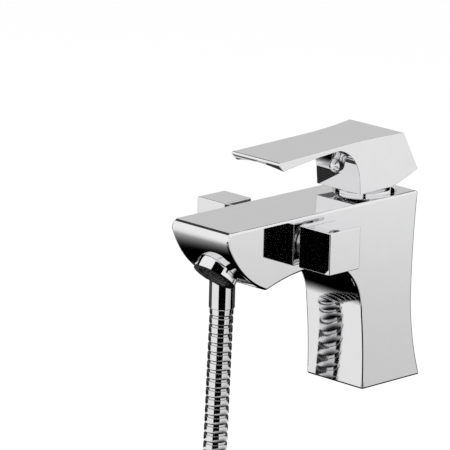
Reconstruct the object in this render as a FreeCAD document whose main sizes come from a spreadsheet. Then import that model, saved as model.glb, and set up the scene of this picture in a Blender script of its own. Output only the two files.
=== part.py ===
"""Deck-mounted bath mixer with a side diverter knob, a shower outlet and its metal hose.

Frame: +Z up, the spout reaches towards -Y, +X is the side of the diverter knob.
Origin: centre of the column's foot, on the deck. Everything is in millimetres.
"""
import FreeCAD, Part
import Sketcher
import math
import os

V = FreeCAD.Vector
doc = FreeCAD.newDocument("BathMixer")
sheet = doc.addObject("Spreadsheet::Sheet", "Sizes")

SIZES = [
    # Column and spout: one casting with flat parallel sides.
    ("body_half_wide", 22.5),
    ("foot_half_deep", 24.4),
    ("waist_height", 54.0),
    ("waist_rear", 15.1),
    ("foot_flare_radius", 161.4),
    ("body_high", 112.2),
    ("top_rear", 17.8),
    ("back_radius", 628.0),
    ("shin_height", 46.0),
    ("shin_front", 27.0),
    ("shin_radius", 320.0),
    ("arch_front", 60.0),
    ("arch_height", 80.6),
    ("arch_radius", 36.0),
    ("lip_front", 105.8),
    ("lip_height", 74.1),
    ("underside_radius", 120.0),
    ("tip_front", 138.2),
    ("tip_height", 107.4),
    ("belly_radius", 55.0),
    ("tip_top_front", 134.6),
    ("tip_round_radius", 5.0),
    # Water ways and threads inside the casting.
    ("core_back", 4.0),
    ("core_floor", 72.0),
    ("core_radius", 17.6),
    ("core_thread_radius", 18.6),
    ("core_thread_deep", 9.0),
    ("inlet_side", 8.2),
    ("inlet_rear", 0.5),
    ("inlet_radius", 4.0),
    ("inlet_thread_radius", 4.5),
    ("inlet_thread_deep", 14.0),
    ("stud_front", 12.0),
    ("stud_radius", 3.4),
    ("stud_deep", 26.0),
    ("outlet_way_radius", 4.0),
    ("outlet_way_front", 13.0),
    ("spout_way_radius", 7.0),
    ("spout_way_height", 95.5),
    ("spout_way_from", 52.0),
    ("spout_way_to", 118.0),
    ("riser_angle", 57.0),
    ("riser_long", 60.0),
    # Foot seal.
    ("foot_seal_inner", 17.6),
    ("foot_seal_outer", 20.6),
    ("foot_seal_thick", 2.0),
    # Cartridge.
    ("shell_radius", 17.5),
    ("shell_top", 109.4),
    ("shell_bore", 14.2),
    ("shell_shoulder", 95.4),
    ("shell_floor", 5.0),
    ("shell_foot", 0.6),
    ("shell_mouth", 12.6),
    ("shell_neck", 14.6),
    ("port_radius", 2.8),
    ("seal_plate_radius", 13.4),
    ("plate_radius", 14.0),
    ("plate_thick", 3.0),
    ("disc_radius", 10.2),
    ("disc_thick", 3.0),
    ("slider_half", 7.0),
    ("slider_high", 8.0),
    ("slider_slot_half", 2.65),
    ("slider_slot_deep", 5.4),
    ("rotor_radius", 14.0),
    ("rotor_neck_radius", 12.53),
    ("rotor_top", 111.2),
    ("rotor_gap", 0.3),
    ("rotor_slot_half", 4.1),
    ("rotor_slot_front", 8.6),
    ("rotor_slot_rear", 9.4),
    ("rotor_well_front", 10.8),
    ("slider_side_gap", 0.05),
    ("pivot_height", 100.0),
    ("pin_radius", 2.0),
    ("pin_gap", 0.05),
    ("pin_half_long", 11.0),
    ("stem_half", 4.0),
    ("stem_share", 0.5952),
    ("stem_neck_half", 3.4),
    ("stem_waist_half", 1.8),
    ("stem_waist_top", 6.0),
    ("finger_drop", 10.0),
    ("finger_radius", 2.55),
    # Ring nut and its chromed dome under the lever.
    ("nut_slot_wide", 3.2),
    ("dome_radius", 18.3),
    ("dome_rim_high", 1.4),
    ("dome_high", 5.2),
    ("dome_mouth", 12.2),
    ("dome_wall", 1.2),
    # Lever.
    ("lever_front", 95.2),
    ("lever_front_drop", 2.9),
    ("lever_front_edge", 1.1),
    ("lever_lip_front", 90.9),
    ("lever_lip_drop", 8.3),
    ("lever_under_rear", 44.0),
    ("lever_under_drop", 4.1),
    ("lever_under_radius", 420.0),
    ("lever_hollow_radius", 22.0),
    ("lever_block_front", 26.6),
    ("lever_block_mid", 125.6),
    ("lever_block_foot", 115.6),
    ("lever_block_foot_front", 25.7),
    ("lever_heel_front", 2.8),
    ("lever_heel_height", 117.0),
    ("lever_back", 17.6),
    ("lever_back_height", 124.8),
    ("lever_top_rear", 4.9),
    ("lever_top_height", 148.2),
    ("lever_half_front", 18.8),
    ("lever_waist_half", 17.0),
    ("lever_waist_at", 36.0),
    ("lever_waist_radius", 179.5),
    ("lever_waist_end", 3.5),
    ("lever_half_rear", 21.4),
    ("lever_scoop_radius", 62.0),
    ("lever_scoop_deep", 2.3),
    ("lever_scoop_tilt", 2.2),
    ("lever_well_radius", 16.8),
    ("lever_well_top", 123.0),
    ("socket_half", 4.0),
    ("screw_share", 0.2857),
    ("screw_radius", 2.9),
    ("screw_long", 9.0),
    ("screw_key", 1.6),
    ("plug_radius", 4.2),
    ("plug_front", 28.3),
    ("plug_stem_long", 6.0),
    # Aerator, leaning forward on the belly of the spout.
    ("aer_front", 125.8),
    ("aer_height", 81.0),
    ("aer_lean", 40.0),
    ("aer_radius", 13.1),
    ("aer_shoulder_radius", 13.5),
    ("aer_long", 7.0),
    ("aer_shoulder_long", 3.4),
    ("aer_thread_radius", 11.9),
    ("aer_thread_long", 7.0),
    ("aer_bore", 10.3),
    ("aer_mouth", 9.5),
    ("aer_lip", 1.1),
    ("aer_notch_wide", 6.2),
    ("aer_notch_deep", 1.0),
    ("aer_notch_long", 5.5),
    ("aer_notch_turn", 43.0),
    ("aer_seat_radius", 13.7),
    ("aer_insert_high", 8.0),
    ("aer_ring_wall", 0.9),
    ("aer_ring_step", 2.3),
    ("aer_spoke_wide", 0.9),
    ("aer_washer_thick", 1.6),
    ("aer_washer_bore", 7.4),
    # Diverter on the right side of the spout's root.
    ("side_front", 70.6),
    ("side_height", 96.4),
    ("valve_bore", 9.5),
    ("valve_deep", 18.0),
    ("drum_gap", 0.05),
    ("collar_radius", 10.6),
    ("collar_thick", 1.5),
    ("gland_radius", 3.55),
    ("gland_thick", 4.0),
    ("drum_radius", 7.85),
    ("drum_long", 10.0),
    ("drum_port", 3.2),
    ("spindle_radius", 3.5),
    ("spindle_end", 36.0),
    ("spindle_groove", 0.9),
    ("spindle_ring_long", 1.4),
    ("spindle_ring_from", 16.6),
    ("knob_half", 12.35),
    ("knob_inner", 24.6),
    ("knob_wide", 24.2),
    ("knob_edge", 0.4),
    ("knob_screw_radius", 2.0),
    ("knob_screw_long", 5.0),
    ("knob_screw_sunk", 1.0),
    # Shower outlet on the left side.
    ("elbow_out", 47.6),
    ("elbow_half", 11.0),
    ("elbow_top", 108.8),
    ("elbow_bottom", 84.0),
    ("elbow_edge", 0.4),
    ("neck_radius", 8.6),
    ("neck_bore", 5.5),
    ("neck_thread_radius", 9.5),
    ("neck_thread_long", 11.0),
    ("neck_flange_radius", 11.4),
    ("neck_flange_thick", 2.4),
    ("neck_spigot_radius", 7.4),
    ("neck_spigot_long", 4.0),
    ("tail_radius", 10.4),
    ("tail_long", 9.6),
    ("tail_bore", 7.2),
    ("tail_seat_radius", 8.8),
    ("tail_up", 4.8),
    # Check valve inside the tail.
    ("check_radius", 7.2),
    ("check_high", 13.2),
    ("check_bore", 5.4),
    ("check_seat_bore", 3.6),
    ("check_seat_thick", 2.0),
    ("poppet_radius", 4.6),
    ("poppet_thick", 1.8),
    ("poppet_stem", 1.4),
    ("guide_thick", 1.6),
    ("guide_hole", 1.46),
    ("spring_radius", 2.9),
    ("spring_wire", 0.35),
    ("spring_turns", 4.0),
    ("spring_gap", 0.15),
    # Hose: nut, washer, sleeves, ribbed drop, lead, coil and cone nut.
    ("hose_radius", 7.0),
    ("hose_bore", 4.2),
    ("hose_root", 6.35),
    ("hose_nut_radius", 12.2),
    ("hose_nut_top", 83.2),
    ("hose_nut_bottom", 67.0),
    ("hose_nut_flat", 11.4),
    ("hose_washer_thick", 2.0),
    ("hose_washer_bore", 5.0),
    ("hose_flange_radius", 9.6),
    ("hose_flange_thick", 2.4),
    ("hose_nut_thread_long", 8.8),
    ("sleeve_radius", 7.6),
    ("sleeve_bottom", 43.0),
    ("drop_bottom", -80.0),
    ("rib_pitch", 5.5),
    ("rib_crest", 3.3),
    ("rib_slope", 0.5),
    ("coil_radius", 84.0),
    ("coil_pitch", 15.4),
    ("coil_turns", 2.0),
    ("hose_tail_long", 34.0),
    ("end_sleeve_long", 22.0),
    ("cone_nut_long", 30.0),
    ("cone_nut_top", 8.6),
    ("cone_nut_radius", 12.2),
    ("cone_thread_radius", 10.5),
    ("cone_thread_deep", 11.0),
    ("cone_thread_long", 10.4),
    ("cone_relief_radius", 11.1),
    ("cone_skirt_long", 14.0),
    ("end_washer_thick", 2.0),
    ("end_washer_bore", 5.0),
    ("tie_wide", 9.0),
    ("tie_thick", 1.4),
    ("tie_gap", 0.4),
]

values = dict(SIZES)
for row, (alias, value) in enumerate(SIZES, start=1):
    sheet.set(f"A{row}", alias)
    sheet.set(f"B{row}", str(value))
    sheet.setAlias(f"B{row}", alias)
doc.recompute()


def bound(text):
    """Write a formula over the sheet's names as an expression."""
    out = []
    word = ""
    for char in text + " ":
        if char.isalnum() or char == "_" or (char == "." and word):
            word += char
        else:
            out.append(f"Sizes.{word}" if word in values else word)
            word = ""
            out.append(char)
    return "".join(out).strip()


def number(text):
    """The present value of such a formula."""
    return float(sheet.evalExpression(bound(str(text))))


def bind(obj, **sizes):
    for name, text in sizes.items():
        obj.setExpression(name, bound(str(text)))
    return obj


TURNS = {
    "z": FreeCAD.Rotation(),
    "x": FreeCAD.Rotation(V(0, 1, 0), 90),
    "y": FreeCAD.Rotation(V(1, 0, 0), -90),
}


def place(obj, at, axis="z"):
    """Stand an object at a point given as three formulas, its own Z along an axis."""
    turn = TURNS[axis] if isinstance(axis, str) else axis
    obj.Placement = FreeCAD.Placement(V(), turn)
    for name, text in zip("xyz", at):
        obj.setExpression(f"Placement.Base.{name}", bound(str(text)))
    return obj


def cylinder(name, radius, height, at, axis="z"):
    obj = doc.addObject("Part::Cylinder", name)
    return place(bind(obj, Radius=radius, Height=height), at, axis)


def box(name, wide, deep, high, at, axis="z"):
    obj = doc.addObject("Part::Box", name)
    return place(bind(obj, Length=wide, Width=deep, Height=high), at, axis)


def ball(name, radius, at):
    return place(bind(doc.addObject("Part::Sphere", name), Radius=radius), at)


def hexagon(name, across_half, height, at, axis="z"):
    obj = doc.addObject("Part::Prism", name)
    bind(obj, Circumradius=f"({across_half}) / cos(30 deg)", Height=height)
    return place(obj, at, axis)


def fuse(name, *parts):
    obj = doc.addObject("Part::MultiFuse", name)
    obj.Shapes = list(parts)
    obj.Refine = True
    return obj


def cut(name, base, *tools):
    tool = tools[0] if len(tools) == 1 else fuse(name + "_tools", *tools)
    obj = doc.addObject("Part::Cut", name)
    obj.Base = base
    obj.Tool = tool
    obj.Refine = True
    return obj


def common(name, first, second):
    obj = doc.addObject("Part::MultiCommon", name)
    obj.Shapes = [first, second]
    return obj


nodes = []


def node(label, obj):
    """Count an object as one piece of the mixer, under its own label."""
    obj.Label = label
    nodes.append(obj)
    return obj


def origin_plane(body, role):
    return next(feature for feature in body.Origin.OriginFeatures if feature.Role == role)


def fix(sketch, constraint, text):
    """Add a measured constraint and bind it to the sheet."""
    index = sketch.addConstraint(constraint)
    sketch.setExpression(f"Constraints[{index}]", bound(text))


def outline(body, name, role, corners):
    """A closed sketch through (across, up, radius of the arc that leads to the next corner).

    A positive radius bows to the left of the direction of travel, a negative one to the right,
    and None is a straight line. Every corner and radius is bound to the sheet.
    """
    sketch = body.newObject("Sketcher::SketchObject", name)
    sketch.AttachmentSupport = [(origin_plane(body, role), "")]
    sketch.MapMode = "FlatFace"
    points = [V(number(across), number(up), 0) for across, up, _ in corners]
    count = len(points)
    ends = []
    for i, (start, (_, _, radius)) in enumerate(zip(points, corners)):
        stop = points[(i + 1) % count]
        if radius is None:
            sketch.addGeometry(Part.LineSegment(start, stop), False)
            ends.append((1, 2))
            continue
        size = number(radius)
        chord = stop - start
        side = V(-chord.y, chord.x, 0).normalize() * math.copysign(1, size)
        rise = math.sqrt(size * size - chord.Length ** 2 / 4)
        centre = (start + stop) / 2 - side * rise
        middle = centre + side * abs(size)
        if size > 0:
            sketch.addGeometry(Part.Arc(stop, middle, start), False)
            ends.append((2, 1))
        else:
            sketch.addGeometry(Part.Arc(start, middle, stop), False)
            ends.append((1, 2))
    for i in range(count):
        following = (i + 1) % count
        sketch.addConstraint(Sketcher.Constraint("Coincident", i, ends[i][1], following, ends[following][0]))
    for i, (across, up, radius) in enumerate(corners):
        at = ends[i][0]
        fix(sketch, Sketcher.Constraint("DistanceX", -1, 1, i, at, points[i].x), across)
        fix(sketch, Sketcher.Constraint("DistanceY", -1, 1, i, at, points[i].y), up)
        if radius is not None:
            fix(sketch, Sketcher.Constraint("Radius", i, abs(number(radius))), f"abs({radius})")
    return sketch


def slab(name, corners, thick):
    """A side outline in the Y-Z plane, as thick as said and centred on X = 0."""
    body = doc.addObject("PartDesign::Body", name)
    sketch = outline(body, name + "_outline", "YZ_Plane", corners)
    pad = body.newObject("PartDesign::Pad", name + "_pad")
    pad.Profile = sketch
    bind(pad, Length=thick)
    pad.SideType = "Symmetric"
    return body


def turned(name, corners, at=("0", "0", "0"), axis="z"):
    """A turned piece: its half section, (radius, height, arc), spun round its own Z."""
    body = doc.addObject("PartDesign::Body", name)
    sketch = outline(body, name + "_section", "XZ_Plane", corners)
    spin = body.newObject("PartDesign::Revolution", name + "_spin")
    spin.Profile = sketch
    spin.ReferenceAxis = (sketch, ["V_Axis"])
    spin.Angle = 360
    return place(body, at, axis)


def tube(name, inner, outer, low, high, at=("0", "0", "0"), axis="z"):
    corners = [(inner, low, None), (outer, low, None), (outer, high, None), (inner, high, None)]
    return turned(name, corners, at, axis)


# Column and spout
casting_side = slab("Casting", [
    ("foot_half_deep", "0", "foot_flare_radius"),
    ("waist_rear", "waist_height", "back_radius"),
    ("top_rear", "body_high", None),
    ("-tip_top_front", "body_high", "-tip_round_radius"),
    ("-tip_front", "tip_height", "-belly_radius"),
    ("-lip_front", "lip_height", "underside_radius"),
    ("-arch_front", "arch_height", "arch_radius"),
    ("-shin_front", "shin_height", "shin_radius"),
    ("-foot_half_deep", "0", None),
], "2 * body_half_wide")
core_at = ("0", "-core_back")
riser_turn = FreeCAD.Rotation(V(1, 0, 0), number("riser_angle"))
aerator_turn = FreeCAD.Rotation(V(1, 0, 0), -number("aer_lean"))
side_at = ("-side_front", "side_height")
body_cuts = [
    cylinder("Core", "core_radius", "body_high - core_floor + 1", core_at + ("core_floor",)),
    cylinder("Core_thread", "core_thread_radius", "core_thread_deep + 1",
             core_at + ("body_high - core_thread_deep",)),
    cylinder("Stud_hole", "stud_radius", "stud_deep", ("0", "-stud_front", "0")),
    cylinder("Outlet_way", "outlet_way_radius", "12", ("0", "-outlet_way_front", "core_floor - 10")),
    cylinder("Riser_way", "outlet_way_radius", "riser_long",
             ("0", "-outlet_way_front + 1.5", "core_floor - 8"), riser_turn),
    cylinder("Spout_way", "spout_way_radius", "spout_way_to - spout_way_from",
             ("0", "-spout_way_to", "spout_way_height"), "y"),
    cylinder("Valve_way", "valve_bore", "valve_deep + 1", ("body_half_wide - valve_deep",) + side_at, "x"),
    cylinder("Neck_way", "neck_thread_radius", "neck_thread_long + 1", ("-body_half_wide - 1",) + side_at, "x"),
    cylinder("Cross_way", "neck_bore", "2 * body_half_wide - 10", ("-body_half_wide + 5",) + side_at, "x"),
    tube("Foot_groove", "foot_seal_inner", "foot_seal_outer", "-1", "foot_seal_thick"),
]
for side, sign in (("hot", "-"), ("cold", "")):
    spot = (f"{sign}inlet_side", "inlet_rear")
    body_cuts.append(cylinder(f"Inlet_{side}", "inlet_radius", "core_floor + 1", spot + ("0",)))
    body_cuts.append(cylinder(f"Inlet_thread_{side}", "inlet_thread_radius", "inlet_thread_deep", spot + ("0",)))
aerator_at = ("0", "-aer_front", "aer_height")
body_cuts.append(turned("Aerator_seat", [
    ("0", "-12", None),
    ("aer_seat_radius", "-12", None),
    ("aer_seat_radius", "aer_long + aer_shoulder_long", None),
    ("aer_thread_radius", "aer_long + aer_shoulder_long", None),
    ("aer_thread_radius", "aer_long + aer_shoulder_long + aer_thread_long + aer_washer_thick", None),
    ("0", "aer_long + aer_shoulder_long + aer_thread_long + aer_washer_thick", None),
], aerator_at, aerator_turn))
node("body", cut("Body", casting_side, *body_cuts))
node("foot_seal", tube("Foot_seal", "foot_seal_inner", "foot_seal_outer", "0", "foot_seal_thick"))


# Windings and bars swept along tangent arcs
def part_feature(name, shape):
    obj = doc.addObject("Part::Feature", name)
    obj.Shape = shape
    return obj


def biarc(start, start_way, stop, stop_way):
    """Two arcs that join two points along two directions."""
    span = stop - start
    ways = start_way + stop_way
    square = 2 * (1 - start_way.dot(stop_way))
    along = span.dot(ways)
    reach = (math.sqrt(along * along + square * span.dot(span)) - along) / square
    first = start + start_way * reach
    second = stop - stop_way * reach
    joint = (first + second) / 2
    arcs = []
    for head, corner, foot in ((start, first, joint), (joint, second, stop)):
        middle = (head + foot) / 2
        half = (foot - head).Length / 2
        slope = math.acos(min(1, half / (corner - head).Length))
        arcs.append(Part.Arc(head, middle + (corner - middle).normalize() * half * math.tan(slope / 2), foot))
    return arcs


def swept(edges, radius, way):
    """A round bar along tangent arcs and runs."""
    path = Part.Wire([edge.toShape() for edge in edges])
    start = edges[0].StartPoint
    ring = Part.Wire([Part.Circle(start, way, radius).toShape()])
    bar = path.makePipeShell([ring], True, False)
    if bar.Volume < 0:
        bar.reverse()
    expected = math.pi * radius ** 2 * path.Length
    assert abs(bar.Volume - expected) < 0.01 * expected, (bar.Volume, expected)
    return bar, path


def spiral(centre, radius, pitch, start, turns, steps, across, up, along):
    """Arcs of a winding round the direction along, a biarc for each quarter turn or so."""

    def spot(angle):
        turn = math.radians(angle)
        flat = across * (radius * math.cos(turn)) + up * (radius * math.sin(turn))
        return centre + flat + along * (pitch * (angle - start) / 360)

    def way(angle):
        turn = math.radians(angle)
        flat = across * (-radius * math.sin(turn)) + up * (radius * math.cos(turn))
        return (flat + along * (pitch / (2 * math.pi))).normalize()

    count = max(1, round(turns * steps))
    marks = [start + turns * 360 * i / count for i in range(count + 1)]
    arcs = []
    for low, high in zip(marks, marks[1:]):
        arcs += biarc(spot(low), way(low), spot(high), way(high))
    return arcs, spot, way


def least_gap(path, radius, skip):
    """The smallest gap between turns, measured on points along the middle line."""
    points = path.discretize(Number=240)
    step = path.Length / 239
    apart = int(skip / step) + 1
    near = min(a.distanceToPoint(b) for i, a in enumerate(points) for b in points[i + apart:])
    return near - 2 * radius


# Cartridge: shell, seals, ceramic discs, slider, rotor, pin and stem
floor = "core_floor + shell_foot"
plate_low = floor + " + shell_floor"
disc_low = plate_low + " + plate_thick"
slider_low = disc_low + " + disc_thick"
rotor_low = slider_low + " + rotor_gap"
thread_low = "body_high - core_thread_deep"
ports = [(("inlet_side", "inlet_rear")), ("-inlet_side", "inlet_rear"), ("0", "-outlet_way_front")]


def port_holes(name, low, high):
    return [cylinder(f"{name}_port_{i}", "port_radius", f"({high}) - ({low})", spot + (low,))
            for i, spot in enumerate(ports)]


seal_plate = cylinder("Seal_plate", "seal_plate_radius", "shell_foot", core_at + ("core_floor",))
node("cartridge_seal", cut("Cartridge_seal", seal_plate, *port_holes("Seal", "core_floor", floor)))

shell = turned("Shell", [
    ("0", floor, None),
    ("shell_radius", floor, None),
    ("shell_radius", thread_low, None),
    ("shell_neck", thread_low, None),
    ("shell_neck", "shell_top", None),
    ("shell_mouth", "shell_top", None),
    ("shell_mouth", "shell_shoulder", None),
    ("shell_bore", "shell_shoulder", None),
    ("shell_bore", plate_low, None),
    ("0", plate_low, None),
], core_at + ("0",))
node("cartridge_shell", cut("Cartridge_shell", shell, *port_holes("Shell", floor, plate_low)))

plate = cylinder("Plate", "plate_radius", "plate_thick", core_at + (plate_low,))
node("fixed_disc", cut("Fixed_disc", plate, *port_holes("Plate", plate_low, disc_low)))

disc = cylinder("Disc", "disc_radius", "disc_thick", core_at + (disc_low,))
disc_dish = cylinder("Disc_dish", "disc_radius * 0.62", "disc_thick / 2", core_at + (disc_low,))
node("moving_disc", cut("Moving_disc", disc, disc_dish))

slider = box("Slider_block", "2 * slider_half", "2 * slider_half", "slider_high",
             ("-slider_half", "-core_back - slider_half", slider_low))
slider_slot = box("Slider_slot", "2 * slider_half + 2", "2 * slider_slot_half", "slider_slot_deep + 1",
                  ("-slider_half - 1", "-core_back - slider_slot_half",
                   slider_low + " + slider_high - slider_slot_deep"))
node("disc_slider", cut("Disc_slider", slider, slider_slot))

rotor = turned("Rotor", [
    ("0", rotor_low, None),
    ("rotor_radius", rotor_low, None),
    ("rotor_radius", "shell_shoulder - rotor_gap", None),
    ("rotor_neck_radius", "shell_shoulder - rotor_gap", None),
    ("rotor_neck_radius", "rotor_top", None),
    ("0", "rotor_top", None),
], core_at + ("0",))
rotor_well = box("Rotor_well", "2 * (slider_half + slider_side_gap)",
                 "rotor_well_front + slider_half + 2 * slider_side_gap", "slider_high + 0.4",
                 ("-slider_half - slider_side_gap", "-core_back - rotor_well_front", slider_low))
rotor_slot = box("Rotor_slot", "2 * rotor_slot_half", "rotor_slot_front + rotor_slot_rear", "rotor_top",
                 ("-rotor_slot_half", "-core_back - rotor_slot_front", "pivot_height - finger_drop"))
pin_at = ("-pin_half_long", "-core_back", "pivot_height")
rotor_pin_way = cylinder("Rotor_pin_way", "pin_radius", "2 * pin_half_long", pin_at, "x")
node("stem_rotor", cut("Stem_rotor", rotor, rotor_well, rotor_slot, rotor_pin_way))
node("pivot_pin", cylinder("Pivot_pin", "pin_radius", "2 * pin_half_long", pin_at, "x"))

finger = cylinder("Finger", "finger_radius", "2 * stem_half",
                  ("-stem_half", "-core_back", "pivot_height - finger_drop"), "x")
stem_waist = box("Stem_waist", "2 * stem_half", "2 * stem_waist_half", "finger_drop",
                 ("-stem_half", "-core_back - stem_waist_half", "pivot_height - finger_drop"))
stem_hip = box("Stem_hip", "2 * stem_half", "2 * stem_neck_half", "stem_waist_top + 4",
               ("-stem_half", "-core_back - stem_neck_half", "pivot_height - stem_waist_top"))
stem_top = "lever_well_top + stem_share * (lever_top_height - lever_well_top)"
stem_bar = box("Stem_bar", "2 * stem_half", "2 * stem_half", stem_top + " - pivot_height - 3",
               ("-stem_half", "-core_back - stem_half", "pivot_height + 3"))
stem_eye = cylinder("Stem_eye", "pin_radius + pin_gap", "4 * stem_half",
                    ("-2 * stem_half", "-core_back", "pivot_height"), "x")
node("lever_stem", cut("Lever_stem", fuse("Stem", finger, stem_waist, stem_hip, stem_bar), stem_eye))

nut = tube("Ring_nut", "shell_neck", "core_thread_radius", thread_low, "body_high", core_at + ("0",))
nut_slots = [
    box("Nut_slot_across", "2 * core_thread_radius + 2", "nut_slot_wide", "3",
        ("-core_thread_radius - 1", "-core_back - nut_slot_wide / 2", "body_high - 2")),
    box("Nut_slot_along", "nut_slot_wide", "2 * core_thread_radius + 2", "3",
        ("-nut_slot_wide / 2", "-core_back - core_thread_radius - 1", "body_high - 2")),
]
node("cartridge_nut", cut("Cartridge_nut", nut, *nut_slots))
node("dome_ring", turned("Dome_ring", [
    ("dome_radius - dome_wall", "body_high", None),
    ("dome_radius", "body_high", None),
    ("dome_radius", "body_high + dome_rim_high", "-9"),
    ("dome_mouth", "body_high + dome_high", None),
    ("dome_mouth", "body_high + dome_high - dome_wall", "8"),
    ("dome_radius - dome_wall", "body_high + dome_rim_high - 0.4", None),
], core_at + ("0",)))

# Lever
lever_front_top = "lever_top_height - lever_front_drop"
lever_lip_height = "lever_top_height - lever_lip_drop"
lever_side = slab("Lever_side", [
    ("-lever_front", lever_front_top + " - lever_front_edge", None),
    ("-lever_lip_front", lever_lip_height, "lever_under_radius"),
    ("-lever_under_rear", "lever_top_height - lever_under_drop", "lever_hollow_radius"),
    ("-lever_block_front", "lever_block_mid", None),
    ("-lever_block_foot_front", "lever_block_foot", None),
    ("-lever_heel_front", "lever_heel_height", None),
    ("lever_back", "lever_back_height", None),
    ("lever_top_rear", "lever_top_height", None),
    ("-lever_front + lever_front_edge", lever_front_top, None),
], "2 * lever_half_rear + 2")


def plan(name, corners, high, at):
    """A flat outline seen from above, raised by a height."""
    body = doc.addObject("PartDesign::Body", name)
    pad = body.newObject("PartDesign::Pad", name + "_pad")
    pad.Profile = outline(body, name + "_outline", "XY_Plane", corners)
    bind(pad, Length=high)
    return place(body, at)


lever_plan = plan("Lever_plan", [
    ("-lever_half_front", "-lever_front - 1", None),
    ("lever_half_front", "-lever_front - 1", None),
    ("lever_waist_half", "-lever_waist_at", "lever_waist_radius"),
    ("lever_half_rear", "lever_waist_end", None),
    ("lever_half_rear", "lever_back + 1", None),
    ("-lever_half_rear", "lever_back + 1", None),
    ("-lever_half_rear", "lever_waist_end", "lever_waist_radius"),
    ("-lever_waist_half", "-lever_waist_at", None),
], "60", ("0", "0", "lever_block_foot - 5"))
scoop_turn = FreeCAD.Rotation(V(1, 0, 0), -90 + number("lever_scoop_tilt"))
screw_height = "lever_well_top + screw_share * (lever_top_height - lever_well_top)"
screw_at = ("0", "-plug_front", screw_height)
lever_cuts = [
    cylinder("Lever_scoop", "lever_scoop_radius", "lever_front - lever_under_rear + 1",
             ("0", "-lever_front - 2", lever_lip_height + " + lever_scoop_deep - lever_scoop_radius"), scoop_turn),
    cylinder("Lever_well", "lever_well_radius", "lever_well_top - body_high", core_at + ("body_high",)),
    box("Lever_socket", "2 * socket_half", "2 * socket_half", stem_top + " - lever_well_top + 1",
        ("-socket_half", "-core_back - socket_half", "lever_well_top - 1")),
    cylinder("Screw_way", "screw_radius", "plug_front - core_back - stem_half", screw_at, "y"),
    ball("Plug_seat", "plug_radius", screw_at),
]
node("lever_handle", cut("Lever_handle", common("Lever_blank", lever_side, lever_plan), *lever_cuts))
screw_end = "-core_back - stem_half - screw_long"
screw_body = cylinder("Screw_body", "screw_radius", "screw_long", ("0", screw_end, screw_height), "y")
screw_key = hexagon("Screw_key", "screw_key", "4", ("0", screw_end + " - 1", screw_height), "y")
node("lever_screw", cut("Lever_screw", screw_body, screw_key))
plug_stem = cylinder("Plug_stem", "screw_radius", "plug_radius + plug_stem_long", screw_at, "y")
node("screw_plug", fuse("Screw_plug", ball("Plug_ball", "plug_radius", screw_at), plug_stem))

# Aerator
aer_end = "aer_long + aer_shoulder_long + aer_thread_long"
aerator = turned("Aerator", [
    ("aer_mouth", "0", None),
    ("aer_radius - 0.4", "0", None),
    ("aer_radius", "0.4", None),
    ("aer_radius", "aer_long", None),
    ("aer_shoulder_radius", "aer_long", None),
    ("aer_shoulder_radius", "aer_long + aer_shoulder_long", None),
    ("aer_thread_radius", "aer_long + aer_shoulder_long", None),
    ("aer_thread_radius", aer_end, None),
    ("aer_bore", aer_end, None),
    ("aer_bore", "aer_lip", None),
    ("aer_mouth", "aer_lip", None),
], aerator_at, aerator_turn)


aerator_place = FreeCAD.Placement(V(*(number(text) for text in aerator_at)), aerator_turn)


def along_aerator(name, shape):
    """A piece whose shape is written round the aerator's own axis."""
    obj = doc.addObject("Part::Feature", name)
    obj.Shape = shape
    obj.Placement = aerator_place
    return obj


notch_wide = number("aer_notch_wide")
notches = []
for quarter in range(4):
    notch = Part.makeBox(number("aer_notch_deep") + 1, notch_wide, number("aer_notch_long"),
                         V(number("aer_radius - aer_notch_deep"), -notch_wide / 2, 0))
    notch.rotate(V(), V(0, 0, 1), 90 * quarter + number("aer_notch_turn"))
    notches.append(notch)
notch_set = along_aerator("Aerator_notches", notches[0].fuse(notches[1:]))
node("aerator_housing", cut("Aerator_housing", aerator, notch_set))

rings = []
ring_outer = number("aer_bore")
insert_low = number("aer_lip")
while ring_outer > 2:
    ring = Part.makeCylinder(ring_outer, number("aer_insert_high"), V(0, 0, insert_low))
    ring_inner = ring_outer - number("aer_ring_wall")
    rings.append(ring.cut(Part.makeCylinder(ring_inner, 50, V(0, 0, -1))))
    ring_outer -= number("aer_ring_step")
spoke_wide = number("aer_spoke_wide")
reach = number("aer_bore - aer_ring_wall / 2")
for spin in (0, 90):
    spoke = Part.makeBox(2 * reach, spoke_wide, number("aer_insert_high") - 1, V(-reach, -spoke_wide / 2, insert_low + 1))
    spoke.rotate(V(), V(0, 0, 1), spin)
    rings.append(spoke)
node("aerator_insert", along_aerator("Aerator_insert", rings[0].fuse(rings[1:]).removeSplitter()))
node("aerator_washer", tube("Aerator_washer", "aer_washer_bore", "aer_thread_radius", aer_end,
                            aer_end + " + aer_washer_thick", aerator_at, aerator_turn))

# Diverter on the right
valve_at = ("body_half_wide - valve_deep",) + side_at
node("diverter_sleeve", turned("Diverter_sleeve", [
    ("drum_radius + drum_gap", "0", None),
    ("valve_bore", "0", None),
    ("valve_bore", "valve_deep", None),
    ("collar_radius", "valve_deep", None),
    ("collar_radius", "valve_deep + collar_thick", None),
    ("gland_radius", "valve_deep + collar_thick", None),
    ("gland_radius", "valve_deep + collar_thick - gland_thick", None),
    ("drum_radius + drum_gap", "valve_deep + collar_thick - gland_thick", None),
], valve_at, "x"))
spindle_top = "spindle_end - body_half_wide + valve_deep"
spindle = turned("Spindle", [
    ("0", "1", None),
    ("drum_radius", "1", None),
    ("drum_radius", "1 + drum_long", None),
    ("spindle_radius", "1 + drum_long", None),
    ("spindle_radius", "spindle_ring_from", None),
    ("spindle_radius - spindle_groove", "spindle_ring_from", None),
    ("spindle_radius - spindle_groove", "spindle_ring_from + spindle_ring_long", None),
    ("spindle_radius", "spindle_ring_from + spindle_ring_long", None),
    ("spindle_radius", spindle_top, None),
    ("0", spindle_top, None),
], valve_at, "x")
drum_x = "body_half_wide - valve_deep + 1 + drum_long / 2"
drum_port = cylinder("Drum_port", "drum_port", "4 * drum_radius", (drum_x, "-side_front", "side_height - 2 * drum_radius"))
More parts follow.
